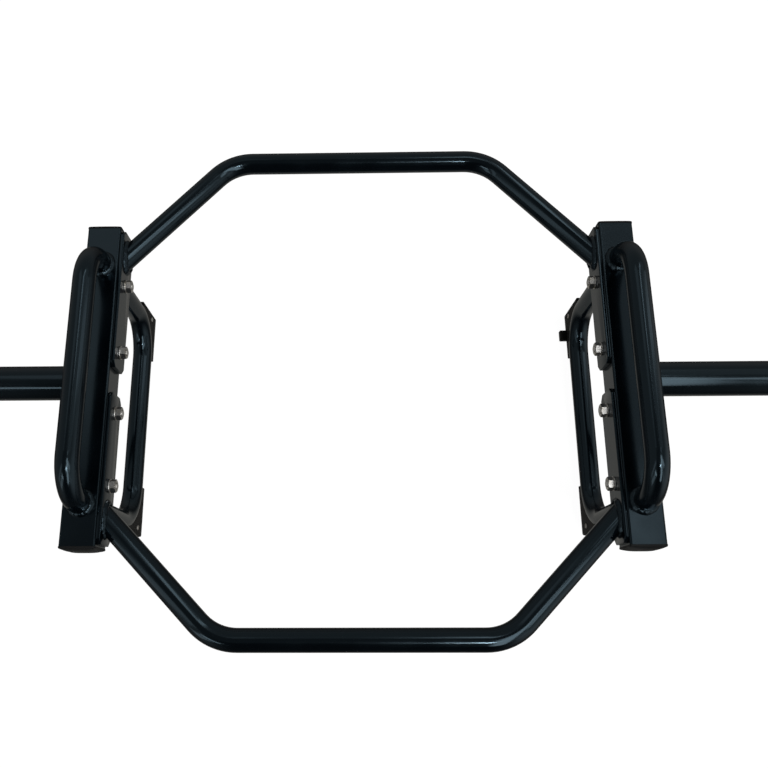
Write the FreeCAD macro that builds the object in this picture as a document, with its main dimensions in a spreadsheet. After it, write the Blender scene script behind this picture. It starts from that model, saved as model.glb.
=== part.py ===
import FreeCAD, Part
import math
import os
import Sketcher

# Hex trap bar with raised handles and a built-in stand.
# Millimetres, +Z up. The origin is on the floor under the middle of the hexagon.
# The sleeves lie along X, and the lifter faces along Y. Rear is +Y, right is +X.

doc = FreeCAD.newDocument("HexTrapBar")

# Driving dimensions
SIZES = {
    # Whole bar: height of the sleeves' axis over the floor, and the beams' spacing between centre planes
    "sleeve_axis_height": 250.0,
    "beam_spacing": 765.0,
    # Side beams: square steel tube
    "beam_size": 50.0,
    "beam_wall": 3.0,
    "beam_corner_radius": 3.0,
    "beam_length": 472.0,
    # Beam end caps: plastic plugs with a flange as large as the beam
    "cap_flange": 3.5,
    "cap_edge_radius": 2.0,
    "cap_plug_depth": 18.0,
    "cap_plug_wall": 2.5,
    "cap_fit_gap": 0.2,
    # Sleeves: round tube, as large as the holes of the weight plates allow
    "sleeve_diameter": 50.0,
    "sleeve_wall": 4.0,
    "sleeve_length": 390.0,
    # Sleeve end caps: plastic plugs
    "sleeve_cap_flange": 3.0,
    "sleeve_cap_edge_radius": 2.0,
    "sleeve_cap_plug_depth": 20.0,
    "sleeve_cap_plug_wall": 2.5,
    "sleeve_cap_fit_gap": 0.2,
    # Raised handles: the rise is from the beam's top face to the grip's centre line
    "handle_tube_diameter": 32.0,
    "handle_tube_wall": 2.5,
    "handle_rise": 64.5,
    "handle_leg_inset": 58.5,
    "handle_bend_radius": 55.0,
    # Stands: the same kind of tube under the beams
    "stand_tube_diameter": 32.0,
    "stand_tube_wall": 2.5,
    "stand_leg_inset": 58.0,
    "stand_bend_radius": 64.0,
    # Corner feet: rubber under the tube is the sole, rubber beyond the leg is the heel
    "foot_width": 28.0,
    "foot_sole": 5.0,
    "foot_heel": 1.5,
    "foot_edge_radius": 3.0,
    "foot_fit_gap": 0.3,
    # Foot lugs and screws: the angle is below the level line through the bend's centre
    "lug_thickness": 4.0,
    "lug_width": 12.0,
    "lug_length": 15.0,
    "lug_fit_gap": 0.3,
    "foot_screw_angle": 39.0,
    "foot_screw_offset": 9.0,
    "foot_screw_diameter": 4.0,
    "foot_screw_gap": 0.3,
    "foot_screw_head_diameter": 8.0,
    "foot_screw_head_height": 2.5,
    # Tab beside the right rear foot: its distance is from the leg's centre line
    "tab_length": 12.5,
    "tab_width": 18.0,
    "tab_height": 8.0,
    "tab_edge_radius": 1.5,
    "tab_distance": 23.0,
    # Frame tubes: the depth is between the two straight runs, the run is between their sharp corners
    "frame_tube_diameter": 32.0,
    "frame_tube_wall": 2.5,
    "frame_depth": 715.0,
    "frame_run": 394.0,
    "frame_bend_radius": 76.0,
    # Mounting plates: the gap is between the two plates of one beam, the inset is from a plate's outer end
    "plate_thickness": 6.0,
    "plate_height": 50.0,
    "plate_gap": 37.0,
    "plate_end_margin": 2.5,
    "plate_corner_cut": 8.0,
    "frame_end_inset": 35.5,
    # Frame bolts: cup heads outside, square necks in the beam's outer wall, washers and nuts inside
    "bolt_diameter": 10.0,
    "bolt_hole_gap": 0.5,
    "bolt_end_distance": 27.5,
    "bolt_tube_distance": 47.0,
    "bolt_head_diameter": 20.0,
    "bolt_head_height": 5.0,
    "bolt_tip": 1.5,
    "washer_diameter": 20.0,
    "washer_thickness": 2.0,
    "nut_width": 17.0,
    "nut_height": 8.0,
    "nut_thread_gap": 0.1,
    # One overrun for every tube or cut that is made too long on purpose
    "overrun": 40.0,
}

sheet = doc.addObject("Spreadsheet::Sheet", "Sizes")
for row, (alias, value) in enumerate(SIZES.items(), start=1):
    sheet.set(f"A{row}", alias)
    sheet.set(f"B{row}", str(value))
    sheet.setAlias(f"B{row}", alias)
doc.recompute()

# Places that several pieces share, as sums over the sheet
BEAM_X = "(Sizes.beam_spacing / 2)"
BEAM_HALF = "(Sizes.beam_size / 2)"
BEAM_END = "(Sizes.beam_length / 2)"
PLATE_FACE_X = f"({BEAM_X} - {BEAM_HALF} - Sizes.plate_thickness)"
PLATE_END = f"({BEAM_END} - Sizes.plate_end_margin)"
FRAME_LANDING = f"({PLATE_END} - Sizes.frame_end_inset)"
BOLT_NEAR = "(Sizes.plate_gap / 2 + Sizes.bolt_end_distance)"
BOLT_FAR = f"({FRAME_LANDING} - Sizes.bolt_tube_distance)"
BOLT_HOLE_RADIUS = "((Sizes.bolt_diameter + Sizes.bolt_hole_gap) / 2)"
WASHER_DEPTH = "(Sizes.beam_size + Sizes.plate_thickness)"
NUT_DEPTH = f"({WASHER_DEPTH} + Sizes.washer_thickness)"
STAND_LEG = f"({BEAM_END} - Sizes.stand_leg_inset)"
STAND_RUN_HEIGHT = "(Sizes.foot_sole + Sizes.stand_tube_diameter / 2)"
BEND_CENTRE_HEIGHT = f"({STAND_RUN_HEIGHT} + Sizes.stand_bend_radius)"
SCREW_REACH = "(Sizes.stand_bend_radius + Sizes.stand_tube_diameter / 2 + Sizes.foot_screw_offset)"

# The two sides and ends: name, sign of the coordinate
SIDES = (("left", -1), ("right", 1))
ENDS = (("front", -1), ("rear", 1))

X_AXIS = FreeCAD.Vector(1, 0, 0)
Y_AXIS = FreeCAD.Vector(0, 1, 0)
Z_AXIS = FreeCAD.Vector(0, 0, 1)
HALF_TURN = 180
QUARTER_TURN = 90

# A sketch counts its own axes down from -1, and the points of a line, an arc or a circle up from 1
FLAT_AXIS, UPRIGHT_AXIS = range(-1, -3, -1)
START, END, CENTRE = range(1, 4)

nodes = []


def size(expression):
    """The value of a sum over the sheet."""
    return float(sheet.evalExpression(expression))


def place(item, x="0", y="0", z="0", axis=Z_AXIS, angle=0):
    """Turns an object, and binds its place to sums over the sheet."""
    item.Placement = FreeCAD.Placement(FreeCAD.Vector(), FreeCAD.Rotation(axis, angle))
    for letter, expression in zip("xyz", (x, y, z)):
        item.setExpression(f"Placement.Base.{letter}", expression)
    return item


def add_node(item, label):
    """Gives a finished sub-part its name and lists it."""
    item.Label = label
    nodes.append(item)
    return item


def bound(kind, name, **expressions):
    """A primitive of the document with its sizes bound to the sheet."""
    item = doc.addObject(kind, name)
    for key, expression in expressions.items():
        item.setExpression(key, expression)
    return item


def new_body(name):
    """An empty body."""
    return doc.addObject("PartDesign::Body", name)


def origin_plane(body, role):
    """One of the body's own origin planes."""
    return next(item for item in body.Origin.OriginFeatures if item.Role == role)


def sketch_on(body, role, name):
    """An empty sketch on one of the body's own origin planes."""
    sketch = body.newObject("Sketcher::SketchObject", name)
    sketch.AttachmentSupport = (origin_plane(body, role), [""])
    sketch.MapMode = "FlatFace"
    return sketch


def dimension(sketch, expression, kind, *items):
    """Adds a sketch dimension that follows the sheet."""
    index = sketch.addConstraint(Sketcher.Constraint(kind, *items, size(expression)))
    sketch.setExpression(f"Constraints[{index}]", expression)


def fix_point(sketch, geometry, position, x, y):
    """Holds a point of the sketch at x, y from the sketch's origin."""
    for axis, kind, expression in ((UPRIGHT_AXIS, "DistanceX", x), (FLAT_AXIS, "DistanceY", y)):
        if expression == "0":
            sketch.addConstraint(Sketcher.Constraint("PointOnObject", geometry, position, axis))
        else:
            dimension(sketch, expression, kind, FLAT_AXIS, START, geometry, position)


def draw_circle(sketch, x, y, radius):
    """A circle at x, y."""
    centre = FreeCAD.Vector(size(x), size(y), 0)
    index = sketch.addGeometry(Part.Circle(centre, Z_AXIS, size(radius)))
    fix_point(sketch, index, CENTRE, x, y)
    dimension(sketch, radius, "Radius", index)


def draw_outline(sketch, corners):
    """A closed outline of straight lines through the corners."""
    points = [FreeCAD.Vector(size(x), size(y), 0) for x, y in corners]
    lines = []
    for start, end in zip(points, points[1:] + points[:1]):
        lines.append(sketch.addGeometry(Part.LineSegment(start, end)))
    for line, following in zip(lines, lines[1:] + lines[:1]):
        sketch.addConstraint(Sketcher.Constraint("Coincident", line, END, following, START))
    for line, (x, y) in zip(lines, corners):
        fix_point(sketch, line, START, x, y)


def draw_square(sketch, half):
    """A square about the sketch's origin."""
    draw_outline(sketch, ((f"-{half}", f"-{half}"), (half, f"-{half}"), (half, half), (f"-{half}", half)))


def draw_path(sketch, corners, radius):
    """A path of straight runs, with each inner corner rounded to the radius."""
    points = [FreeCAD.Vector(size(x), size(y), 0) for x, y in corners]
    runs = [(end - start).normalize() for start, end in zip(points, points[1:])]
    starts = [points[0]]
    ends = []
    arcs = []
    for point, before, after in zip(points[1:-1], runs, runs[1:]):
        turn = math.atan2(before.cross(after).z, before.dot(after))
        tangent = size(radius) * math.tan(abs(turn) / 2)
        left_hand = FreeCAD.Vector(-before.y, before.x, 0) * math.copysign(1, turn)
        ends.append(point - before * tangent)
        starts.append(point + after * tangent)
        centre = ends[-1] + left_hand * size(radius)
        first, last = (ends[-1], starts[-1]) if turn > 0 else (starts[-1], ends[-1])
        angles = [math.atan2(spot.y - centre.y, spot.x - centre.x) for spot in (first, last)]
        circle = Part.Circle(centre, Z_AXIS, size(radius))
        arcs.append((Part.ArcOfCircle(circle, *angles), turn > 0))
    ends.append(points[-1])
    lines = [sketch.addGeometry(Part.LineSegment(start, end)) for start, end in zip(starts, ends)]
    fix_point(sketch, lines[0], START, *corners[0])
    fix_point(sketch, lines[-1], END, *corners[-1])
    for number, (arc, turns_left) in enumerate(arcs):
        before, after = lines[number], lines[number + 1]
        bend = sketch.addGeometry(arc)
        corner = sketch.addGeometry(Part.Point(points[number + 1]), True)
        entry, leave = (START, END) if turns_left else (END, START)
        sketch.addConstraint(Sketcher.Constraint("Tangent", before, END, bend, entry))
        sketch.addConstraint(Sketcher.Constraint("Tangent", bend, leave, after, START))
        dimension(sketch, radius, "Radius", bend)
        fix_point(sketch, corner, START, *corners[number + 1])
        sketch.addConstraint(Sketcher.Constraint("PointOnObject", corner, START, before))
        sketch.addConstraint(Sketcher.Constraint("PointOnObject", corner, START, after))


def feature(body, kind, name, profile=None, both_ways=False, **expressions):
    """A feature of a body, with its sizes bound to the sheet."""
    item = body.newObject(f"PartDesign::{kind}", name)
    if profile is not None:
        item.Profile = profile
    if both_ways:
        item.SideType = "Symmetric"
    for key, expression in expressions.items():
        item.setExpression(key, expression)
    doc.recompute()
    return item


def round_edges(body, base, name, radius, wanted):
    """Rounds the edges of a feature that the test picks out."""
    names = [f"Edge{number}" for number, edge in enumerate(base.Shape.Edges, start=1) if wanted(edge)]
    fillet = feature(body, "Fillet", name, Radius=radius)
    fillet.Base = (base, names)
    doc.recompute()
    return fillet


def runs_along(edge, axis):
    """True for a straight edge that lies nearer to the axis than to any other."""
    if not isinstance(edge.Curve, Part.Line):
        return False
    return abs(edge.tangentAt(edge.FirstParameter).dot(axis)) > math.cos(math.pi / 4)


def draw_ring(sketch, x, y, diameter, wall):
    """The section of a round tube at x, y."""
    draw_circle(sketch, x, y, f"{diameter} / 2")
    draw_circle(sketch, x, y, f"({diameter} / 2 - {wall})")


def sweep(body, name, ring, path):
    """A tube with the ring as its section, along the path."""
    doc.recompute()
    pipe = body.newObject("PartDesign::AdditivePipe", name)
    pipe.Profile = ring
    pipe.Spine = path
    doc.recompute()
    return pipe


def bent_tube(name, corners, bend_radius, diameter, wall):
    """A round tube along a path in the YZ plane, whose first run leaves the XY plane at right angles."""
    body = new_body(name)
    path = sketch_on(body, "YZ_Plane", f"{name}_path")
    draw_path(path, corners, bend_radius)
    ring = sketch_on(body, "XY_Plane", f"{name}_ring")
    draw_ring(ring, "0", corners[0][0], diameter, wall)
    sweep(body, f"{name}_pipe", ring, path)
    return body


# Side beams: square tube with the bolt holes drilled through both walls, and squared in the outer wall
def make_beam(side, sign):
    name = f"{side}_beam"
    body = new_body(name)
    section = sketch_on(body, "XZ_Plane", f"{name}_section")
    draw_square(section, BEAM_HALF)
    draw_square(section, f"({BEAM_HALF} - Sizes.beam_wall)")
    tube = feature(body, "Pad", f"{name}_tube", section, both_ways=True, Length="Sizes.beam_length")
    inner_half = size(f"{BEAM_HALF} - Sizes.beam_wall / 2")
    round_edges(body, tube, f"{name}_corners", "Sizes.beam_corner_radius",
                lambda edge: runs_along(edge, Y_AXIS) and abs(edge.CenterOfMass.x) > inner_half)
    drilling = sketch_on(body, "YZ_Plane", f"{name}_drilling")
    squaring = sketch_on(body, "YZ_Plane", f"{name}_squaring")
    for mirror in ("-", ""):
        for row in (BOLT_NEAR, BOLT_FAR):
            draw_circle(drilling, f"{mirror}{row}", "0", BOLT_HOLE_RADIUS)
            left, right = (f"({mirror}{row} {move} {BOLT_HOLE_RADIUS})" for move in "-+")
            low, high = f"-{BOLT_HOLE_RADIUS}", BOLT_HOLE_RADIUS
            draw_outline(squaring, ((left, low), (right, low), (right, high), (left, high)))
    holes = feature(body, "Pocket", f"{name}_holes", drilling, both_ways=True)
    holes.Type = "ThroughAll"
    squares = feature(body, "Pocket", f"{name}_squares", squaring)
    squares.Type = "ThroughAll"
    squares.Reversed = True
    place(body, f"{sign} * {BEAM_X}", "0", "Sizes.sleeve_axis_height", Z_AXIS, HALF_TURN * (sign < 0))
    return add_node(body, name)


# Beam end caps: a rounded flange on the beam's end, and a hollow plug inside it
def make_beam_cap(side, side_sign, end, end_sign):
    name = f"{side}_{end}_beam_cap"
    body = new_body(name)
    outline = sketch_on(body, "XZ_Plane", f"{name}_outline")
    draw_square(outline, BEAM_HALF)
    flange = feature(body, "Pad", f"{name}_flange", outline, Length="Sizes.cap_flange")
    corners = round_edges(body, flange, f"{name}_corners", "Sizes.beam_corner_radius",
                          lambda edge: runs_along(edge, Y_AXIS))
    front = corners.Shape.BoundBox.YMin
    round_edges(body, corners, f"{name}_rim", "Sizes.cap_edge_radius",
                lambda edge: edge.BoundBox.YMax < front / 2)
    plug = sketch_on(body, "XZ_Plane", f"{name}_plug_section")
    plug_half = f"({BEAM_HALF} - Sizes.beam_wall - Sizes.cap_fit_gap)"
    draw_square(plug, plug_half)
    draw_square(plug, f"({plug_half} - Sizes.cap_plug_wall)")
    walls = feature(body, "Pad", f"{name}_plug", plug, Length="Sizes.cap_plug_depth")
    walls.Reversed = True
    place(body, f"{side_sign} * {BEAM_X}", f"{end_sign} * {BEAM_END}", "Sizes.sleeve_axis_height",
          Z_AXIS, HALF_TURN * (end_sign > 0))
    return add_node(body, name)


# Sleeves: plain round tube, butt-welded to the beam's outer face
def make_sleeve(side, sign):
    name = f"{side}_sleeve"
    body = new_body(name)
    section = sketch_on(body, "YZ_Plane", f"{name}_section")
    draw_ring(section, "0", "0", "Sizes.sleeve_diameter", "Sizes.sleeve_wall")
    feature(body, "Pad", f"{name}_tube", section, Length="Sizes.sleeve_length")
    place(body, f"{sign} * ({BEAM_X} + {BEAM_HALF})", "0", "Sizes.sleeve_axis_height",
          Z_AXIS, HALF_TURN * (sign < 0))
    return add_node(body, name)


# Sleeve end caps: a rounded disc on the sleeve's end, and a hollow plug inside it
def make_sleeve_cap(side, sign):
    name = f"{side}_sleeve_cap"
    body = new_body(name)
    outline = sketch_on(body, "YZ_Plane", f"{name}_outline")
    draw_circle(outline, "0", "0", "Sizes.sleeve_diameter / 2")
    disc = feature(body, "Pad", f"{name}_disc", outline, Length="Sizes.sleeve_cap_flange")
    round_edges(body, disc, f"{name}_rim", "Sizes.sleeve_cap_edge_radius",
                lambda edge: edge.BoundBox.XMin > disc.Shape.BoundBox.XMax / 2)
    plug = sketch_on(body, "YZ_Plane", f"{name}_plug_section")
    bore = "(Sizes.sleeve_diameter - 2 * Sizes.sleeve_wall)"
    draw_ring(plug, "0", "0", f"({bore} - 2 * Sizes.sleeve_cap_fit_gap)", "Sizes.sleeve_cap_plug_wall")
    walls = feature(body, "Pad", f"{name}_plug", plug, Length="Sizes.sleeve_cap_plug_depth")
    walls.Reversed = True
    place(body, f"{sign} * ({BEAM_X} + {BEAM_HALF} + Sizes.sleeve_length)", "0", "Sizes.sleeve_axis_height",
          Z_AXIS, HALF_TURN * (sign < 0))
    return add_node(body, name)


# Raised handles: one tube with two bends, its legs butt-welded to the beam's top face
def make_handle(side, sign):
    leg = f"({BEAM_END} - Sizes.handle_leg_inset)"
    rise = "Sizes.handle_rise"
    corners = ((f"-{leg}", "0"), (f"-{leg}", rise), (leg, rise), (leg, "0"))
    body = bent_tube(f"{side}_handle", corners, "Sizes.handle_bend_radius",
                     "Sizes.handle_tube_diameter", "Sizes.handle_tube_wall")
    place(body, f"{sign} * {BEAM_X}", "0", f"Sizes.sleeve_axis_height + {BEAM_HALF}")
    return add_node(body, body.Label)


# Stands: one tube with two bends, its legs butt-welded to the beam's underside
def make_stand(side, sign):
    drop = f"-(Sizes.sleeve_axis_height - {BEAM_HALF} - {STAND_RUN_HEIGHT})"
    corners = ((f"-{STAND_LEG}", "0"), (f"-{STAND_LEG}", drop), (STAND_LEG, drop), (STAND_LEG, "0"))
    body = bent_tube(f"{side}_stand", corners, "Sizes.stand_bend_radius",
                     "Sizes.stand_tube_diameter", "Sizes.stand_tube_wall")
    place(body, f"{sign} * {BEAM_X}", "0", f"Sizes.sleeve_axis_height - {BEAM_HALF}")
    return add_node(body, body.Label)


# The stand bend as a ring about its own centre, made wider by a gap where a piece has to clear it
def bend_ring(name, gap="0"):
    ring = bound("Part::Torus", name, Radius1="Sizes.stand_bend_radius",
                 Radius2=f"Sizes.stand_tube_diameter / 2 + {gap}")
    return place(ring, "0", "-Sizes.stand_bend_radius", BEND_CENTRE_HEIGHT, Y_AXIS, QUARTER_TURN)


# A bar that stands out of the stand bend at the screw's angle, starting on the tube's centre line
def lug_bar(name, gap="0"):
    bar = bound("Part::Box", name, Length=f"Sizes.lug_thickness + 2 * {gap}",
                Width=f"Sizes.stand_tube_diameter / 2 + Sizes.lug_length + {gap}",
                Height=f"Sizes.lug_width + 2 * {gap}")
    across = f"(Sizes.lug_width / 2 + {gap})"
    angle = "(Sizes.foot_screw_angle * 1deg)"
    place(bar, f"-(Sizes.lug_thickness / 2 + {gap})",
          f"Sizes.stand_bend_radius * (cos({angle}) - 1) - {across} * sin({angle})",
          f"{BEND_CENTRE_HEIGHT} - Sizes.stand_bend_radius * sin({angle}) - {across} * cos({angle})",
          X_AXIS, -size("Sizes.foot_screw_angle"))
    return bar


# A hole for the foot screw, through the foot and its lug
def screw_hole(name):
    angle = "(Sizes.foot_screw_angle * 1deg)"
    hole = bound("Part::Cylinder", name, Radius="Sizes.foot_screw_diameter / 2 + Sizes.foot_screw_gap",
                 Height="Sizes.foot_width + 2 * Sizes.overrun")
    return place(hole, "-(Sizes.foot_width / 2 + Sizes.overrun)",
                 f"{SCREW_REACH} * cos({angle}) - Sizes.stand_bend_radius",
                 f"{BEND_CENTRE_HEIGHT} - {SCREW_REACH} * sin({angle})", Y_AXIS, QUARTER_TURN)


# Corner feet: a rubber block that squares off the outside of a stand bend, with a slot for the lug
def make_foot(side, side_sign, end, end_sign):
    name = f"{side}_{end}_foot"
    body = new_body(f"{name}_block")
    outline = sketch_on(body, "YZ_Plane", f"{name}_outline")
    inner = "-Sizes.stand_bend_radius"
    outer = "(Sizes.stand_tube_diameter / 2 + Sizes.foot_heel)"
    top = BEND_CENTRE_HEIGHT
    draw_outline(outline, ((inner, "0"), (outer, "0"), (outer, top), (inner, top)))
    block = feature(body, "Pad", f"{name}_pad", outline, both_ways=True, Length="Sizes.foot_width")
    round_edges(body, block, f"{name}_heel", "Sizes.foot_edge_radius",
                lambda edge: edge.BoundBox.YMin > 0 and edge.BoundBox.ZMax > block.Shape.BoundBox.ZMax / 2)
    hollow = bound("Part::Cylinder", f"{name}_hollow", Radius="Sizes.stand_bend_radius",
                   Height="Sizes.foot_width + 2 * Sizes.overrun")
    place(hollow, "-(Sizes.foot_width / 2 + Sizes.overrun)", "-Sizes.stand_bend_radius", BEND_CENTRE_HEIGHT,
          Y_AXIS, QUARTER_TURN)
    tools = doc.addObject("Part::MultiFuse", f"{name}_tools")
    tools.Shapes = [hollow, bend_ring(f"{name}_ring", "Sizes.foot_fit_gap"),
                    lug_bar(f"{name}_slot", "Sizes.lug_fit_gap"), screw_hole(f"{name}_hole")]
    foot = doc.addObject("Part::Cut", name)
    foot.Base = body
    foot.Tool = tools
    place(foot, f"{side_sign} * {BEAM_X}", f"{end_sign} * {STAND_LEG}", "0",
          Z_AXIS, HALF_TURN * (end_sign < 0))
    return add_node(foot, name)


# Foot lugs: flat steel welded to the stand bends inside the feet, all four in one group
def make_foot_lugs():
    group = doc.addObject("Part::Compound", "foot_lugs")
    lugs = []
    for side, side_sign in SIDES:
        for end, end_sign in ENDS:
            name = f"{side}_{end}_lug"
            tools = doc.addObject("Part::MultiFuse", f"{name}_tools")
            tools.Shapes = [bend_ring(f"{name}_ring"), screw_hole(f"{name}_hole")]
            lug = doc.addObject("Part::Cut", name)
            lug.Base = lug_bar(f"{name}_bar")
            lug.Tool = tools
            place(lug, f"{side_sign} * {BEAM_X}", f"{end_sign} * {STAND_LEG}", "0",
                  Z_AXIS, HALF_TURN * (end_sign < 0))
            lugs.append(lug)
    group.Links = lugs
    return add_node(group, "foot_lugs")


# Foot screws: a head on each foot's inner side and a shank through the lug, all four in one group
def make_foot_screws():
    angle = "(Sizes.foot_screw_angle * 1deg)"
    across = f"({STAND_LEG} + {SCREW_REACH} * cos({angle}) - Sizes.stand_bend_radius)"
    height = f"({BEND_CENTRE_HEIGHT} - {SCREW_REACH} * sin({angle}))"
    group = doc.addObject("Part::Compound", "foot_screws")
    screws = []
    for side, side_sign in SIDES:
        for end, end_sign in ENDS:
            name = f"{side}_{end}_foot_screw"
            head = bound("Part::Cylinder", f"{name}_head", Radius="Sizes.foot_screw_head_diameter / 2",
                         Height="Sizes.foot_screw_head_height")
            place(head, "0", "0", "-Sizes.foot_screw_head_height")
            shank = bound("Part::Cylinder", f"{name}_shank", Radius="Sizes.foot_screw_diameter / 2",
                          Height="Sizes.foot_width - Sizes.foot_screw_head_height")
            screw = doc.addObject("Part::Fuse", name)
            screw.Base = head
            screw.Tool = shank
            place(screw, f"{side_sign} * ({BEAM_X} - Sizes.foot_width / 2)", f"{end_sign} * {across}", height,
                  Y_AXIS, QUARTER_TURN * side_sign)
            screws.append(screw)
    group.Links = screws
    return add_node(group, "foot_screws")


# Tab beside the right rear foot: a small block on the floor against the foot's inner side
def make_foot_tab():
    name = "right_rear_foot_tab"
    body = new_body(name)
    outline = sketch_on(body, "XY_Plane", f"{name}_outline")
    half = "Sizes.tab_width / 2"
    draw_outline(outline, (("-Sizes.tab_length", f"-{half}"), ("0", f"-{half}"), ("0", half),
                           ("-Sizes.tab_length", half)))
    block = feature(body, "Pad", f"{name}_block", outline, Length="Sizes.tab_height")
    middle = block.Shape.BoundBox.XMin / 2
    round_edges(body, block, f"{name}_edges", "Sizes.tab_edge_radius",
                lambda edge: edge.BoundBox.XMax < middle and edge.BoundBox.ZMax > 0)
    place(body, f"{BEAM_X} - Sizes.foot_width / 2", f"{STAND_LEG} - Sizes.tab_distance", "0")
    return add_node(body, name)


# Frame tubes: half a tube from the middle of the straight run, trimmed flat on the plates and mirrored
def make_frame_tube(end, sign):
    name = f"{end}_frame_tube"
    body = new_body(name)
    corner = "(Sizes.frame_run / 2)"
    fall = f"((Sizes.frame_depth / 2 - {FRAME_LANDING}) / ({PLATE_FACE_X} - {corner}))"
    past = f"({PLATE_FACE_X} + Sizes.overrun)"
    path = sketch_on(body, "XY_Plane", f"{name}_path")
    draw_path(path, (("0", "0"), (corner, "0"), (past, f"-{fall} * ({past} - {corner})")),
              "Sizes.frame_bend_radius")
    ring = sketch_on(body, "YZ_Plane", f"{name}_ring")
    draw_ring(ring, "0", "0", "Sizes.frame_tube_diameter", "Sizes.frame_tube_wall")
    pipe = sweep(body, f"{name}_pipe", ring, path)
    trimming = sketch_on(body, "XY_Plane", f"{name}_trimming")
    beyond = f"({past} + Sizes.overrun)"
    deep = "Sizes.frame_depth"
    draw_outline(trimming, ((PLATE_FACE_X, f"-{deep}"), (beyond, f"-{deep}"),
                            (beyond, deep), (PLATE_FACE_X, deep)))
    trim = feature(body, "Pocket", f"{name}_trim", trimming, both_ways=True)
    trim.Type = "ThroughAll"
    doc.recompute()
    mirror = body.newObject("PartDesign::Mirrored", f"{name}_mirror")
    mirror.Originals = [pipe, trim]
    mirror.MirrorPlane = (origin_plane(body, "YZ_Plane"), [""])
    body.Tip = mirror
    place(body, "0", f"{sign} * Sizes.frame_depth / 2", "Sizes.sleeve_axis_height",
          Z_AXIS, HALF_TURN * (sign < 0))
    return add_node(body, name)


# Mounting plates: flat steel with cut corners and two bolt holes, welded to the ends of the frame tubes
def make_plate(side, side_sign, end, end_sign):
    name = f"{side}_{end}_plate"
    body = new_body(name)
    outline = sketch_on(body, "YZ_Plane", f"{name}_outline")
    near, far, half = "(Sizes.plate_gap / 2)", PLATE_END, "(Sizes.plate_height / 2)"
    near_cut, far_cut = f"({near} + Sizes.plate_corner_cut)", f"({far} - Sizes.plate_corner_cut)"
    half_cut = f"({half} - Sizes.plate_corner_cut)"
    draw_outline(outline, ((near_cut, f"-{half}"), (far_cut, f"-{half}"), (far, f"-{half_cut}"),
                           (far, half_cut), (far_cut, half), (near_cut, half), (near, half_cut),
                           (near, f"-{half_cut}")))
    for row in (BOLT_NEAR, BOLT_FAR):
        draw_circle(outline, row, "0", BOLT_HOLE_RADIUS)
    plate = feature(body, "Pad", f"{name}_pad", outline, Length="Sizes.plate_thickness")
    plate.Reversed = True
    turns = {(1, 1): (Z_AXIS, 0), (1, -1): (X_AXIS, HALF_TURN),
             (-1, 1): (Y_AXIS, HALF_TURN), (-1, -1): (Z_AXIS, HALF_TURN)}
    place(body, f"{side_sign} * ({BEAM_X} - {BEAM_HALF})", "0", "Sizes.sleeve_axis_height",
          *turns[side_sign, end_sign])
    return add_node(body, name)


# The eight bolt places: a name, the side's sign and the distance along the beam
def bolt_places():
    for side, side_sign in SIDES:
        for end, end_sign in ENDS:
            for row, distance in (("near", BOLT_NEAR), ("far", BOLT_FAR)):
                yield f"{side}_{end}_{row}", side_sign, f"{end_sign} * {distance}"


# A group of fasteners, each made along +Z and laid with +Z pointing to the middle of the bar
def fastener_group(label, depth, make_one):
    group = doc.addObject("Part::Compound", label)
    items = []
    for name, sign, y in bolt_places():
        item = make_one(f"{name}_{label}")
        place(item, f"{sign} * ({BEAM_X} + {BEAM_HALF} - {depth})", y, "Sizes.sleeve_axis_height",
              Y_AXIS, -QUARTER_TURN * sign)
        items.append(item)
    group.Links = items
    return add_node(group, label)


# Frame bolts: a cup head, a square neck in the beam's outer wall and a shank through beam and plate
def make_bolt(name):
    rim, rise = "Sizes.bolt_head_diameter / 2", "Sizes.bolt_head_height"
    dome_radius = f"((({rim}) ^ 2 + {rise} ^ 2) / (2 * {rise}))"
    flat_depth = f"({dome_radius} - {rise})"
    head = bound("Part::Sphere", f"{name}_head", Radius=dome_radius,
                 Angle2=f"-asin({flat_depth} / {dome_radius})")
    head.Angle1 = -QUARTER_TURN
    place(head, "0", "0", flat_depth)
    neck = bound("Part::Box", f"{name}_neck", Length="Sizes.bolt_diameter", Width="Sizes.bolt_diameter",
                 Height="Sizes.beam_wall")
    place(neck, "-Sizes.bolt_diameter / 2", "-Sizes.bolt_diameter / 2")
    shank = bound("Part::Cylinder", f"{name}_shank", Radius="Sizes.bolt_diameter / 2",
                  Height=f"{NUT_DEPTH} + Sizes.nut_height + Sizes.bolt_tip")
    bolt = doc.addObject("Part::MultiFuse", name)
    bolt.Shapes = [head, neck, shank]
    return bolt


# Washers: flat rings between the mounting plates and the nuts
def make_washer(name):
    disc = bound("Part::Cylinder", f"{name}_disc", Radius="Sizes.washer_diameter / 2",
                 Height="Sizes.washer_thickness")
    hole = bound("Part::Cylinder", f"{name}_hole", Radius=BOLT_HOLE_RADIUS, Height="Sizes.washer_thickness")
    washer = doc.addObject("Part::Cut", name)
    washer.Base = disc
    washer.Tool = hole
    return washer


# Nuts: hexagons on the washers, with a running gap round the shanks
def make_nut(name):
    hexagon = bound("Part::Prism", f"{name}_hexagon", Circumradius="Sizes.nut_width / 2 / cos(30deg)",
                    Height="Sizes.nut_height")
    hole = bound("Part::Cylinder", f"{name}_hole", Radius="Sizes.bolt_diameter / 2 + Sizes.nut_thread_gap",
                 Height="Sizes.nut_height")
    nut = doc.addObject("Part::Cut", name)
    nut.Base = hexagon
    nut.Tool = hole
    return nut


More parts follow.
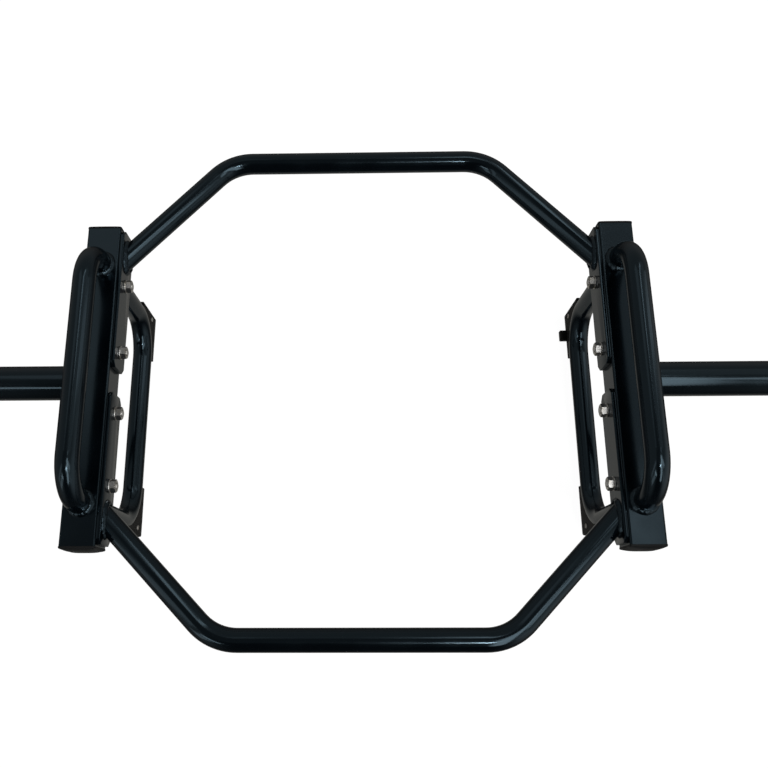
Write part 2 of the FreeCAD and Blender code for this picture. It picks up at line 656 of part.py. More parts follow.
for side, side_sign in SIDES:
    make_beam(side, side_sign)
    make_sleeve(side, side_sign)
    make_sleeve_cap(side, side_sign)
    make_handle(side, side_sign)
    make_stand(side, side_sign)
    for end, end_sign in ENDS:
        make_beam_cap(side, side_sign, end, end_sign)
        make_foot(side, side_sign, end, end_sign)
        make_plate(side, side_sign, end, end_sign)
for end, end_sign in ENDS:
    make_frame_tube(end, end_sign)
make_foot_lugs()
make_foot_screws()
make_foot_tab()
fastener_group("frame_bolts", "0", make_bolt)
fastener_group("frame_washers", WASHER_DEPTH, make_washer)
fastener_group("frame_nuts", NUT_DEPTH, make_nut)
doc.recompute()

# Nothing is written unless every object is sound and every cut removes something
for item in doc.Objects:
    if "Invalid" in item.State or "Error" in item.State:
        raise RuntimeError(f"{item.Name} failed: {item.State}")
    if item.isDerivedFrom("PartDesign::Pocket") and item.Shape.Volume >= item.BaseFeature.Shape.Volume:
        raise RuntimeError(f"{item.Name} cuts nothing")
for node in nodes:
    if node.Shape.isNull() or not node.Shape.isValid():
        raise RuntimeError(f"{node.Label} has no sound shape")

os.makedirs("parts", exist_ok=True)
for node in nodes:
    node.Shape.exportStep(f"parts/{node.Label}.step")
    print(f"{node.Label}: {len(node.Shape.Solids)} solids, {node.Shape.Volume:.0f} mm3")
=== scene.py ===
import math

import bmesh
import bpy
from mathutils import Matrix, Quaternion, Vector, noise


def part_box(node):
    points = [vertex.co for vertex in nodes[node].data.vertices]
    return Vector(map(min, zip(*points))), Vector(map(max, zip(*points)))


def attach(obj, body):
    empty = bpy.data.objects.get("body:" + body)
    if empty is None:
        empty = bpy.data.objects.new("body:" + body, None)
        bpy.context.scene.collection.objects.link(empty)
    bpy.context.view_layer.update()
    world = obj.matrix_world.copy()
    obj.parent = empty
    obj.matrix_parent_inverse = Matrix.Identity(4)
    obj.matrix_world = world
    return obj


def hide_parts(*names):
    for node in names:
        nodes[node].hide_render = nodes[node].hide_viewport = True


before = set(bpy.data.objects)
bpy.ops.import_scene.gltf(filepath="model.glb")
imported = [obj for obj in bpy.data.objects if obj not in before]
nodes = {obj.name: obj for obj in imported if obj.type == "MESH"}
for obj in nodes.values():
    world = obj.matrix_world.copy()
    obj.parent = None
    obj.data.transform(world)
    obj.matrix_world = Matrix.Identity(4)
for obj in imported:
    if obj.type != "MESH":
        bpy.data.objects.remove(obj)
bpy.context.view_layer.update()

# Side beams: two lengths of square steel tube that everything else on the bar is fixed to.
# All the welded steel is sprayed with one coat of gloss blue-black enamel, which dries with a faint
# orange peel, small satin patches and a few specks of dust.
SIDES = {"left": -1, "right": 1}
BEAMS = {side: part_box(f"{side}_beam") for side in SIDES}
ENAMEL_DEEP = (0.0006, 0.0014, 0.0025, 1)
ENAMEL_THIN = (0.0012, 0.0025, 0.0039, 1)
ENAMEL_DUST = (0.018, 0.020, 0.022, 1)
ENAMEL_SHEEN = (0.57, 0.83, 1.0, 1)
ENAMEL_IOR = 1.57
ENAMEL_ROUGHNESS = 0.12
PEEL_PER_METRE = 260
PEEL_HEIGHT = 0.000006
PATCHES_PER_METRE = 14
PATCH_RANGE = (0.35, 0.75)
PATCH_DULLING = 0.06
DUST_PER_METRE = 1100
DUST_RANGE = (0.76, 0.80)
DUST_DULLING = 0.25
PLAIN_DETAIL = 1.0
CLOUDY_DETAIL = 4.0
MIX_COLOUR_A, MIX_COLOUR_B, MIX_COLOUR_RESULT = 6, 7, 2


class Wire:
    """A shader value: sums that are written with wires add Math nodes to their material."""

    def __init__(self, tree, socket):
        self.tree = tree
        self.socket = socket

    @classmethod
    def node(cls, tree, kind, settings, sockets, output=0):
        """Adds a node with these settings and socket values or wires, and gives one of its outputs."""
        made = tree.nodes.new(kind)
        for name, value in settings.items():
            setattr(made, name, value)
        for name, value in sockets.items():
            if isinstance(value, Wire):
                tree.links.new(value.socket, made.inputs[name])
            else:
                made.inputs[name].default_value = value
        return cls(tree, made.outputs[output]) if made.outputs else None

    def maths(self, operation, first, second):
        return Wire.node(self.tree, "ShaderNodeMath", {"operation": operation}, {0: first, 1: second})

    def __add__(self, other):
        return self.maths("ADD", self, other)

    def __sub__(self, other):
        return self.maths("SUBTRACT", self, other)

    def __rsub__(self, other):
        return self.maths("SUBTRACT", other, self)

    def __mul__(self, other):
        return self.maths("MULTIPLY", self, other)

    __radd__ = __add__
    __rmul__ = __mul__

    def step(self, low, high):
        """0 below low and 1 above high, with a soft rise between them."""
        ends = {"Value": self, "From Min": low, "From Max": high}
        return Wire.node(self.tree, "ShaderNodeMapRange", {"interpolation_type": "SMOOTHSTEP"}, ends)

    def between(self, first, second):
        """The first colour where the wire is 0, and the second where it is 1."""
        colours = {0: self, MIX_COLOUR_A: first, MIX_COLOUR_B: second}
        return Wire.node(self.tree, "ShaderNodeMix", {"data_type": "RGBA"}, colours, MIX_COLOUR_RESULT)


def new_finish(name):
    """An empty material, with the place on the bar that its patterns are laid out on."""
    material = bpy.data.materials.new(name)
    material.use_nodes = True
    material.node_tree.nodes.clear()
    return material, Wire.node(material.node_tree, "ShaderNodeTexCoord", {}, {}, "Object")


def grain(place, per_metre, detail=PLAIN_DETAIL):
    """Soft noise from 0 to 1 with so many lumps to the metre; more detail puts finer lumps on them."""
    sockets = {"Vector": place, "Scale": per_metre, "Detail": detail}
    return Wire.node(place.tree, "ShaderNodeTexNoise", {}, sockets)


def relief(height, depth):
    """A surface normal that rises and falls by the depth, in metres."""
    sockets = {"Strength": 1.0, "Distance": depth, "Height": height}
    return Wire.node(height.tree, "ShaderNodeBump", {}, sockets)


def surface(tree, sockets):
    """Closes a material with its shader."""
    shader = Wire.node(tree, "ShaderNodeBsdfPrincipled", {}, sockets)
    Wire.node(tree, "ShaderNodeOutputMaterial", {}, {"Surface": shader})


def gloss_enamel(name, roughness):
    material, place = new_finish(name)
    patches = grain(place, PATCHES_PER_METRE, CLOUDY_DETAIL).step(*PATCH_RANGE)
    dust = grain(place, DUST_PER_METRE).step(*DUST_RANGE)
    surface(place.tree, {
        "Base Color": dust.between(patches.between(ENAMEL_DEEP, ENAMEL_THIN), ENAMEL_DUST),
        "Roughness": roughness + PATCH_DULLING * patches + DUST_DULLING * dust,
        "Normal": relief(grain(place, PEEL_PER_METRE), PEEL_HEIGHT),
        "Specular Tint": ENAMEL_SHEEN,
        "IOR": ENAMEL_IOR,
    })
    return material


def dress(material, *names):
    """Gives CAD nodes their finish."""
    for name in names:
        for material_slot in nodes[name].material_slots:
            material_slot.material = material


enamel = gloss_enamel("gloss_black_enamel", ENAMEL_ROUGHNESS)
dress(enamel, *(f"{side}_beam" for side in SIDES))

# Sleeves: two round steel tubes that the weight plates slide on to, butted against the middle of each
# beam's outer face and welded all round. The bead is a row of overlapping ripples under the same enamel.
SMOOTH_ANGLE = math.radians(38)
WELD_ROUGHNESS = 0.19
BEAD_HALF_WIDTH = 0.0042
BEAD_HALF_HEIGHT = 0.0021
BEAD_INSET = 0.0012
BEAD_SIDES = 16
RIPPLE_LENGTH = 0.0055
STEPS_PER_RIPPLE = 8
RIPPLE_HEIGHT_SHARE = 0.11
RIPPLE_LEAN = 0.45
BEAD_UNEVEN_SHARE = 0.45
UNEVEN_PER_METRE = 120
QUARTER_TURN = math.radians(90)
TURN_TO_SIDE = {side: Matrix.Rotation(sign * QUARTER_TURN, 4, "Y") for side, sign in SIDES.items()}


def add_piece(name, bm, material, slot, *replaced):
    """Makes a finished mesh a piece of the bar, which stands for the CAD nodes that are named."""
    mesh = bpy.data.meshes.new(name)
    bm.to_mesh(mesh)
    bm.free()
    mesh.materials.append(material)
    mesh.shade_smooth()
    mesh.set_sharp_from_angle(angle=SMOOTH_ANGLE)
    piece = bpy.data.objects.new(name, mesh)
    bpy.context.scene.collection.objects.link(piece)
    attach(piece, "root")
    if replaced:
        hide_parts(*replaced)


def add_bead(bm, place, radius, stretch=1.0):
    """A rippled fillet weld round a tube of that radius, on the flat face that place stands on."""
    ripples = round(math.tau * radius * (1 + stretch) / 2 / RIPPLE_LENGTH)
    before = set(bm.verts)
    profile = bmesh.ops.create_circle(bm, segments=BEAD_SIDES, radius=1)["verts"]
    bmesh.ops.scale(bm, verts=profile, vec=(BEAD_HALF_WIDTH, BEAD_HALF_HEIGHT, 1))
    bmesh.ops.rotate(bm, verts=profile, matrix=Matrix.Rotation(-QUARTER_TURN / 2, 3, "Z"))
    bmesh.ops.rotate(bm, verts=profile, matrix=Matrix.Rotation(QUARTER_TURN, 3, "X"))
    centre = Vector((radius + BEAD_INSET, 0, BEAD_INSET))
    bmesh.ops.translate(bm, verts=profile, vec=centre)
    edges = list(dict.fromkeys(edge for vert in profile for edge in vert.link_edges))
    bmesh.ops.spin(bm, geom=profile + edges, cent=(0, 0, 0), axis=(0, 0, 1), angle=math.tau,
                   steps=ripples * STEPS_PER_RIPPLE, use_merge=True)
    ring = [vert for vert in bm.verts if vert not in before]
    for vert in ring:
        angle = math.atan2(vert.co.y, vert.co.x)
        middle = Matrix.Rotation(angle, 3, "Z") @ centre
        out = vert.co - middle
        lean = RIPPLE_LEAN * out.z / BEAD_HALF_WIDTH
        ripple = (angle / math.tau * ripples + lean) % 1
        middle.x *= stretch
        uneven = noise.noise((place @ middle) * UNEVEN_PER_METRE)
        swell = 1 + BEAD_UNEVEN_SHARE * uneven + RIPPLE_HEIGHT_SHARE * math.sin(math.pi * ripple)
        vert.co = middle + out * swell
    bmesh.ops.transform(bm, matrix=place, verts=ring)


def weld(name, places, radius, stretch=1.0):
    """One piece with a bead at each of the places."""
    bm = bmesh.new()
    for place in places:
        add_bead(bm, place, radius, stretch)
    bmesh.ops.recalc_face_normals(bm, faces=bm.faces)
    add_piece(name, bm, weld_enamel, "black_paint")


weld_enamel = gloss_enamel("enamel_over_welds", WELD_ROUGHNESS)
for side, sign in SIDES.items():
    low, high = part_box(f"{side}_sleeve")
    root_x = low.x if sign > 0 else high.x
    root = Matrix.Translation((root_x, 0, (low.z + high.z) / 2)) @ TURN_TO_SIDE[side]
    dress(enamel, f"{side}_sleeve")
    weld(f"{side}_sleeve_weld", [root], (high.z - low.z) / 2)

# Raised handles: a length of round tube on each beam, bent down at both ends and welded to the beam's top
# face. They are what the lifter's hands hold, and carry the same gloss enamel.


def bent_tube_legs(name):
    """A bent tube's radius, its lowest and highest point, and the X and Y of each of its two legs."""
    low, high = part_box(name)
    radius = (high.x - low.x) / 2
    middle_x = (high.x + low.x) / 2
    legs = [(middle_x, low.y + radius), (middle_x, high.y - radius)]
    return radius, low.z, high.z, legs


for side in SIDES:
    tube_radius, foot_z, _, legs = bent_tube_legs(f"{side}_handle")
    dress(enamel, f"{side}_handle")
    weld(f"{side}_handle_welds", [Matrix.Translation((*leg, foot_z)) for leg in legs], tube_radius)

# Stands: the same tube bent the other way under each beam, so that the bar rests on four bends.
# The legs are welded to the beam's bottom face, and each bend carries a small steel lug for its foot.
UPSIDE_DOWN = Matrix.Rotation(math.pi, 4, "X")
for side in SIDES:
    tube_radius, _, top_z, legs = bent_tube_legs(f"{side}_stand")
    joints = [Matrix.Translation((*leg, top_z)) @ UPSIDE_DOWN for leg in legs]
    dress(enamel, f"{side}_stand")
    weld(f"{side}_stand_welds", joints, tube_radius)
dress(enamel, "foot_lugs")

# Corner feet: a block of moulded black rubber round the outside of each stand bend, grooved for the tube.
# The moulding is matt with a fine pebble grain, and the sole is scuffed grey with dust from the floor.
ENDS = {"front": -1, "rear": 1}
RUBBER = (0.0050, 0.0050, 0.0047, 1)
RUBBER_WORN = (0.011, 0.0105, 0.0100, 1)
FLOOR_DUST = (0.055, 0.051, 0.047, 1)
RUBBER_ROUGHNESS = 0.60
RUBBER_SHINE = 0.22
WEAR_PER_METRE = 60
WEAR_RANGE = (0.45, 0.80)
WEAR_DULLING = 0.15
DUST_HEIGHT_RANGE = (0.004, 0.016)
DUST_EDGE_WANDER = 0.008
DUST_PATCH_RANGE = (0.3, 0.7)
SOLE_DULLING = 0.10
PEBBLES_PER_METRE = 900
PEBBLE_HEIGHT = 0.00012
MERGE_DISTANCE = 0.00001
FLAT_ANGLE = math.radians(0.5)
SHARP_ANGLE = math.radians(50)
SHORTEST_EASED = 0.004
FOOT_EASE = 0.0009
EASE_STEPS = 2


def round_edges(bm, edges, radius, steps, clamp=False):
    """Rounds edges off; with clamp, less where two rounded edges would run into each other."""
    bmesh.ops.bevel(bm, geom=edges, offset=radius, offset_type="OFFSET", affect="EDGES", segments=steps,
                    profile=0.5, material=-1, clamp_overlap=clamp)


def eased_copy(name, radius):
    """A merged copy of a CAD node's mesh with its long sharp edges rounded off."""
    bm = bmesh.new()
    bm.from_mesh(nodes[name].data)
    bmesh.ops.remove_doubles(bm, verts=bm.verts, dist=MERGE_DISTANCE)
    bmesh.ops.dissolve_limit(bm, angle_limit=FLAT_ANGLE, verts=bm.verts, edges=bm.edges)
    sharp = [edge for edge in bm.edges if edge.is_manifold and edge.is_convex
             and edge.calc_face_angle() > SHARP_ANGLE and edge.calc_length() > SHORTEST_EASED]
    round_edges(bm, sharp, radius, EASE_STEPS, clamp=True)
    bmesh.ops.remove_doubles(bm, verts=bm.verts, dist=MERGE_DISTANCE)
    bmesh.ops.dissolve_degenerate(bm, dist=MERGE_DISTANCE, edges=bm.edges)
    return bm


def foot_rubber(name):
    material, place = new_finish(name)
    tree = place.tree
    wear = grain(place, WEAR_PER_METRE, CLOUDY_DETAIL)
    height = Wire.node(tree, "ShaderNodeSeparateXYZ", {}, {"Vector": place}, "Z")
    near_floor = 1 - (height + DUST_EDGE_WANDER * wear).step(*DUST_HEIGHT_RANGE)
    dusty = near_floor * wear.step(*DUST_PATCH_RANGE)
    surface(tree, {
        "Base Color": dusty.between(wear.step(*WEAR_RANGE).between(RUBBER, RUBBER_WORN), FLOOR_DUST),
        "Roughness": RUBBER_ROUGHNESS + WEAR_DULLING * wear + SOLE_DULLING * dusty,
        "Normal": relief(grain(place, PEBBLES_PER_METRE), PEBBLE_HEIGHT),
        "Specular IOR Level": RUBBER_SHINE,
    })
    return material


rubber = foot_rubber("moulded_foot_rubber")
feet = [f"{side}_{end}_foot" for side in SIDES for end in ENDS]
for name in [*feet, "right_rear_foot_tab"]:
    add_piece(f"{name}_moulding", eased_copy(name, FOOT_EASE), rubber, "foot_rubber", name)

# Foot screws: a short plated screw holds each foot to its lug, driven in from the inner side.
# The pan head has a round socket, and the zinc plating is bright, a little cloudy and yellow in places.
ZINC = (0.74, 0.73, 0.71, 1)
ZINC_YELLOW = (0.66, 0.62, 0.53, 1)
ZINC_ROUGHNESS = 0.20
ZINC_CLOUDS_PER_METRE = 130
ZINC_CLOUD_RANGE = (0.45, 0.75)
ZINC_CLOUD_DULLING = 0.14
ZINC_SCRATCHES_PER_METRE = 900
ZINC_SCRATCH_DULLING = 0.06
ZINC_SCRATCH_DEPTH = 0.0000008
SCREW_SIDES = 28
SCREW_HEAD_RADIUS = 0.004
SCREW_HEAD_RIM = 0.0011
SCREW_HEAD_CROWN = 0.0012
SCREW_SOCKET_RADIUS = 0.0017
SCREW_SOCKET_DEPTH = 0.0012
SCREW_RADIUS = 0.002
SCREW_LENGTH = 0.014
CROWN_STEPS = 5


def zinc_plating(name):
    material, place = new_finish(name)
    clouds = grain(place, ZINC_CLOUDS_PER_METRE, CLOUDY_DETAIL)
    scratches = grain(place, ZINC_SCRATCHES_PER_METRE, CLOUDY_DETAIL)
    surface(place.tree, {
        "Base Color": clouds.step(*ZINC_CLOUD_RANGE).between(ZINC, ZINC_YELLOW),
        "Metallic": 1.0,
        "Roughness": ZINC_ROUGHNESS + ZINC_CLOUD_DULLING * clouds + ZINC_SCRATCH_DULLING * scratches,
        "Normal": relief(scratches, ZINC_SCRATCH_DEPTH),
    })
    return material


def narrow(bm, faces, width, rise=0):
    """Draws each face in by the width, raised above its old rim by the rise."""
    bmesh.ops.inset_individual(bm, faces=faces, thickness=width, depth=rise, use_even_offset=True)


def crown(bm, face, height, reach):
    """Raises a flat face into a low dome, in rings from its rim inwards over the reach."""
    for step in range(CROWN_STEPS):
        far, near = 1 - step / CROWN_STEPS, 1 - (step + 1) / CROWN_STEPS
        narrow(bm, [face], reach / CROWN_STEPS, height * (far * far - near * near))


def extrude_out(bm, face, distance):
    """Pulls a face out along its normal, and gives the face at the new end."""
    way = face.normal * distance
    made = bmesh.ops.extrude_face_region(bm, geom=[face])["geom"]
    bmesh.ops.translate(bm, verts=[item for item in made if isinstance(item, bmesh.types.BMVert)], vec=way)
    bmesh.ops.delete(bm, geom=[face], context="FACES_ONLY")
    end = next(item for item in made if isinstance(item, bmesh.types.BMFace))
    end.normal_update()
    return end


def round_post(bm, sides, radius, height):
    """A closed upright cylinder on the origin, and its bottom and top faces."""
    made = bmesh.ops.create_cone(bm, cap_ends=True, segments=sides, radius1=radius, radius2=radius,
                                 depth=height)
    bmesh.ops.translate(bm, verts=made["verts"], vec=(0, 0, height / 2))
    faces = {face for vert in made["verts"] for face in vert.link_faces if len(face.verts) == sides}
    bottom, top = sorted(faces, key=lambda face: face.calc_center_median().z)
    return bottom, top


def move_new(bm, before, place):
    """Puts what was made since before in its place on the bar."""
    bmesh.ops.transform(bm, matrix=place, verts=[vert for vert in bm.verts if vert not in before])


def add_screw(bm, place):
    """A pan head with a socket, standing on the origin, and below it a plain shank."""
    before = set(bm.verts)
    bottom, top = round_post(bm, SCREW_SIDES, SCREW_HEAD_RADIUS, SCREW_HEAD_RIM)
    crown(bm, top, SCREW_HEAD_CROWN, SCREW_HEAD_RADIUS - SCREW_SOCKET_RADIUS)
    extrude_out(bm, top, -SCREW_SOCKET_DEPTH)
    narrow(bm, [bottom], SCREW_HEAD_RADIUS - SCREW_RADIUS)
    extrude_out(bm, bottom, SCREW_LENGTH)
    move_new(bm, before, place)


TURN_INWARDS = {side: TURN_TO_SIDE[other] for side, other in (("left", "right"), ("right", "left"))}
zinc = zinc_plating("bright_zinc_plating")
screw_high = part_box("foot_screws")[1]
screws = bmesh.new()
for side, sign in SIDES.items():
    for end, way in ENDS.items():
        foot_low, foot_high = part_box(f"{side}_{end}_foot")
        seat_x = foot_low.x if sign > 0 else foot_high.x
        seat = (seat_x, way * (screw_high.y - SCREW_HEAD_RADIUS), screw_high.z - SCREW_HEAD_RADIUS)
        add_screw(screws, Matrix.Translation(seat) @ TURN_INWARDS[side])
bmesh.ops.recalc_face_normals(screws, faces=screws.faces)
add_piece("foot_screws_plated", screws, zinc, "zinc_plating", "foot_screws")

# Frame tubes: one bent round tube at the front and one at the rear, which close the hexagon.
# Each end is cut on the slant and welded to the face of a flat steel plate, and painted with it.
PLATE_EASE = 0.0008
FRAME_CORNER_X = 0.197
FRAME_END_INSET = 0.0355
for end, way in ENDS.items():
    low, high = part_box(f"{end}_frame_tube")
    tube_radius = (high.z - low.z) / 2
    run_y = max(abs(low.y), abs(high.y)) - tube_radius
    dress(enamel, f"{end}_frame_tube")
    for side, sign in SIDES.items():
        plate_low, plate_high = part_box(f"{side}_{end}_plate")
        face_x = plate_low.x if sign > 0 else plate_high.x
        joint_y = max(abs(plate_low.y), abs(plate_high.y)) - FRAME_END_INSET
        across = abs(face_x) - FRAME_CORNER_X
        slant = math.hypot(across, run_y - joint_y) / across
        # The bead stands on the plate, with the long way of the slanted cut along the beam.
        stand_on_plate = Matrix(((0, 0, -sign), (1, 0, 0), (0, -sign, 0))).to_4x4()
        joint = Matrix.Translation((face_x, way * joint_y, (low.z + high.z) / 2)) @ stand_on_plate
        weld(f"{side}_{end}_frame_tube_weld", [joint], tube_radius, slant)
        name = f"{side}_{end}_plate"
        add_piece(f"{name}_steel", eased_copy(name, PLATE_EASE), enamel, "black_paint", name)

# Frame fasteners: two zinc plated cup head bolts through each plate and beam, with a washer and a hexagon
# nut on the inner side. Each nut stops at its own angle when it is tight, given here in degrees.
BOLT_SIDES = 36
BOLT_HEAD_RADIUS = 0.010
BOLT_HEAD_RIM = 0.0012
BOLT_HEAD_CROWN = 0.0038
BOLT_HEAD_EYE = 0.001
BOLT_RADIUS = 0.005
BOLT_LENGTH = 0.0675
BOLT_CHAMFER = 0.001
BOLT_PLACES = (0.046, 0.151)
WASHER_RADIUS = 0.010
WASHER_HOLE_RADIUS = 0.00525
WASHER_HEIGHT = 0.002
WASHER_EASE = 0.0004
WASHER_EASE_STEPS = 2
NUT_WIDTH = 0.017
NUT_HEIGHT = 0.008
NUT_BORE_RADIUS = 0.0051
NUT_FACE_RADIUS = 0.0083
NUT_FLATS = 6
POINTS_PER_FLAT = 8
FLAT_TURN = math.tau / NUT_FLATS
NUT_CHAMFER_SLOPE = math.tan(math.radians(30))
NUT_TURNS = {
    ("left", "front"): (2, -4), ("left", "rear"): (-3, 5),
    ("right", "front"): (-16, -10), ("right", "rear"): (-18, -6),
}


def bore_through(bm, bottom, top, width):
    """Draws both faces in by the width, and opens a hole from one to the other."""
    narrow(bm, [bottom, top], width)
    rims = [*bottom.edges, *top.edges]
    bmesh.ops.delete(bm, geom=[bottom, top], context="FACES_ONLY")
    bmesh.ops.bridge_loops(bm, edges=rims)


def add_bolt(bm, place):
    """A cup head on the origin, and below it a plain shank with a chamfered tip."""
    before = set(bm.verts)
    bottom, top = round_post(bm, BOLT_SIDES, BOLT_HEAD_RADIUS, BOLT_HEAD_RIM)
    crown(bm, top, BOLT_HEAD_CROWN, BOLT_HEAD_RADIUS - BOLT_HEAD_EYE)
    narrow(bm, [bottom], BOLT_HEAD_RADIUS - BOLT_RADIUS)
    tip = extrude_out(bm, bottom, BOLT_LENGTH - BOLT_CHAMFER)
    narrow(bm, [tip], BOLT_CHAMFER, BOLT_CHAMFER)
    move_new(bm, before, place)


def add_washer(bm, place):
    """A flat ring with eased edges, lying on the origin."""
    before = set(bm.verts)
    bottom, top = round_post(bm, BOLT_SIDES, WASHER_RADIUS, WASHER_HEIGHT)
    rims = [*bottom.edges, *top.edges]
    bore_through(bm, bottom, top, WASHER_RADIUS - WASHER_HOLE_RADIUS)
    round_edges(bm, rims, WASHER_EASE, WASHER_EASE_STEPS)
    move_new(bm, before, place)


def add_nut(bm, place):
    """A hexagon nut on the origin, both faces turned to a cone so that the corners end in arcs."""
    before = set(bm.verts)
    bottom, top = round_post(bm, NUT_FLATS * POINTS_PER_FLAT, NUT_WIDTH / 2, NUT_HEIGHT)
    sides = [*bottom.verts, *top.verts]
    narrow(bm, [bottom, top], NUT_WIDTH / 2 - NUT_FACE_RADIUS)
    bore_through(bm, bottom, top, NUT_FACE_RADIUS - NUT_BORE_RADIUS)
    for vert in sides:
        turn = math.atan2(vert.co.y, vert.co.x)
        reach = 1 / math.cos((turn + FLAT_TURN / 2) % FLAT_TURN - FLAT_TURN / 2)
        chamfer = (reach * NUT_WIDTH / 2 - NUT_FACE_RADIUS) * NUT_CHAMFER_SLOPE
        vert.co.xy *= reach
        vert.co.z += chamfer if vert.co.z < NUT_HEIGHT / 2 else -chamfer
    move_new(bm, before, place)


bolts, washers, nuts = bmesh.new(), bmesh.new(), bmesh.new()
for (side, end), turns in NUT_TURNS.items():
    sign, way = SIDES[side], ENDS[end]
    beam_low, beam_high = BEAMS[side]
    plate_low, plate_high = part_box(f"{side}_{end}_plate")
    outside = beam_high.x if sign > 0 else beam_low.x
    inside = plate_low.x if sign > 0 else plate_high.x
    for along, turn in zip(BOLT_PLACES, turns):
        axis = Vector((0, way * along, (beam_low.z + beam_high.z) / 2))
        head = Matrix.Translation(axis + Vector((outside, 0, 0))) @ TURN_TO_SIDE[side]
        seat = Matrix.Translation(axis + Vector((inside, 0, 0))) @ TURN_INWARDS[side]
        on_washer = seat @ Matrix.Translation((0, 0, WASHER_HEIGHT))
        add_bolt(bolts, head)
        add_washer(washers, seat)
        add_nut(nuts, on_washer @ Matrix.Rotation(math.radians(turn), 4, "Z"))
for name, bm in (("frame_bolts", bolts), ("frame_washers", washers), ("frame_nuts", nuts)):
    bmesh.ops.recalc_face_normals(bm, faces=bm.faces)
    add_piece(f"{name}_plated", bm, zinc, "zinc_plating", name)

# Beam and sleeve caps: lids of moulded black plastic pressed into the open ends of the tubes, with a
# rounded rim and a slightly crowned face. The moulding has a fine spark grain and a satin shine.
CAP_PLASTIC = (0.0060, 0.0068, 0.0074, 1)
CAP_PLASTIC_RUBBED = (0.0100, 0.0108, 0.0114, 1)
CAP_ROUGHNESS = 0.62
CAP_SHINE = 0.20
RUBBED_PER_METRE = 45
RUBBED_RANGE = (0.4, 0.75)
RUBBED_POLISH = 0.10
SPARK_PER_METRE = 1500
SPARK_HEIGHT = 0.00004
CAP_FLANGE = 0.0030
CAP_LIP = 0.0004
CAP_RIM = 0.0014
CAP_RIM_STEPS = 4
CAP_CROWN = 0.0034
CAP_CROWN_POWER = 4
CAP_CORNER = 0.003
CAP_CELLS = 12
CAP_PLUG_INSET = 0.0027
CAP_PLUG_WIDTH = 0.0436
CAP_PLUG_DEPTH = 0.018
SLEEVE_CAP_FLANGE = 0.003
SLEEVE_CAP_SIDES = 64
SLEEVE_CAP_CROWN = 0.0018
SLEEVE_CAP_CROWN_SHARE = 0.9
SLEEVE_CAP_PLUG_WIDTH = 0.0416


def cap_plastic(name):
    material, place = new_finish(name)
    rubbed = grain(place, RUBBED_PER_METRE, CLOUDY_DETAIL).step(*RUBBED_RANGE)
    surface(place.tree, {
        "Base Color": rubbed.between(CAP_PLASTIC, CAP_PLASTIC_RUBBED),
        "Roughness": CAP_ROUGHNESS - RUBBED_POLISH * rubbed,
        "Normal": relief(grain(place, SPARK_PER_METRE), SPARK_HEIGHT),
        "Specular IOR Level": CAP_SHINE,
    })
    return material


def finish_cap(bm, flange, plug_width):
    """Rounds a lid's rim, and adds the hidden plug that is pressed into its tube."""
    rim = [edge for edge in bm.edges if edge.calc_face_angle() > SHARP_ANGLE
           and min(vert.co.z for vert in edge.verts) > flange / 2]
    round_edges(bm, rim, CAP_RIM, CAP_RIM_STEPS)
    bottom = min(bm.faces, key=lambda face: face.calc_center_median().z)
    narrow(bm, [bottom], CAP_PLUG_INSET)
    reach = max(vert.co.x for vert in bottom.verts)
    bmesh.ops.scale(bm, verts=bottom.verts, vec=(plug_width / 2 / reach, plug_width / 2 / reach, 1))
    extrude_out(bm, bottom, CAP_PLUG_DEPTH)
    bmesh.ops.recalc_face_normals(bm, faces=bm.faces)


def square_cap(half_width):
    """A crowned square lid with rounded corners, lying on the origin."""
    bm = bmesh.new()
    bmesh.ops.create_grid(bm, x_segments=CAP_CELLS, y_segments=CAP_CELLS, size=half_width)
    for vert in bm.verts:
        along, across = ((offset / half_width) ** CAP_CROWN_POWER for offset in vert.co.xy)
        vert.co.z = CAP_FLANGE + CAP_CROWN * (1 - along) * (1 - across)
    rim = [edge for edge in bm.edges if edge.is_boundary]
    made = bmesh.ops.extrude_edge_only(bm, edges=rim)["geom"]
    for item in made:
        if isinstance(item, bmesh.types.BMVert):
            item.co.z = 0
    bmesh.ops.contextual_create(bm, geom=[edge for edge in bm.edges if edge.is_boundary])
    corners = [edge for edge in bm.edges if abs(abs(edge.verts[0].co.x) - half_width) < MERGE_DISTANCE
               and abs(abs(edge.verts[0].co.y) - half_width) < MERGE_DISTANCE
               and abs(edge.verts[0].co.z - edge.verts[1].co.z) > CAP_FLANGE / 2]
    round_edges(bm, corners, CAP_CORNER, CAP_RIM_STEPS)
    bmesh.ops.recalc_face_normals(bm, faces=bm.faces)
    finish_cap(bm, CAP_FLANGE, CAP_PLUG_WIDTH)
    return bm


def round_cap(radius):
    """A crowned round lid, lying on the origin."""
    bm = bmesh.new()
    top = round_post(bm, SLEEVE_CAP_SIDES, radius, SLEEVE_CAP_FLANGE)[1]
    crown(bm, top, SLEEVE_CAP_CROWN, radius * SLEEVE_CAP_CROWN_SHARE)
    finish_cap(bm, SLEEVE_CAP_FLANGE, SLEEVE_CAP_PLUG_WIDTH)
    return bm


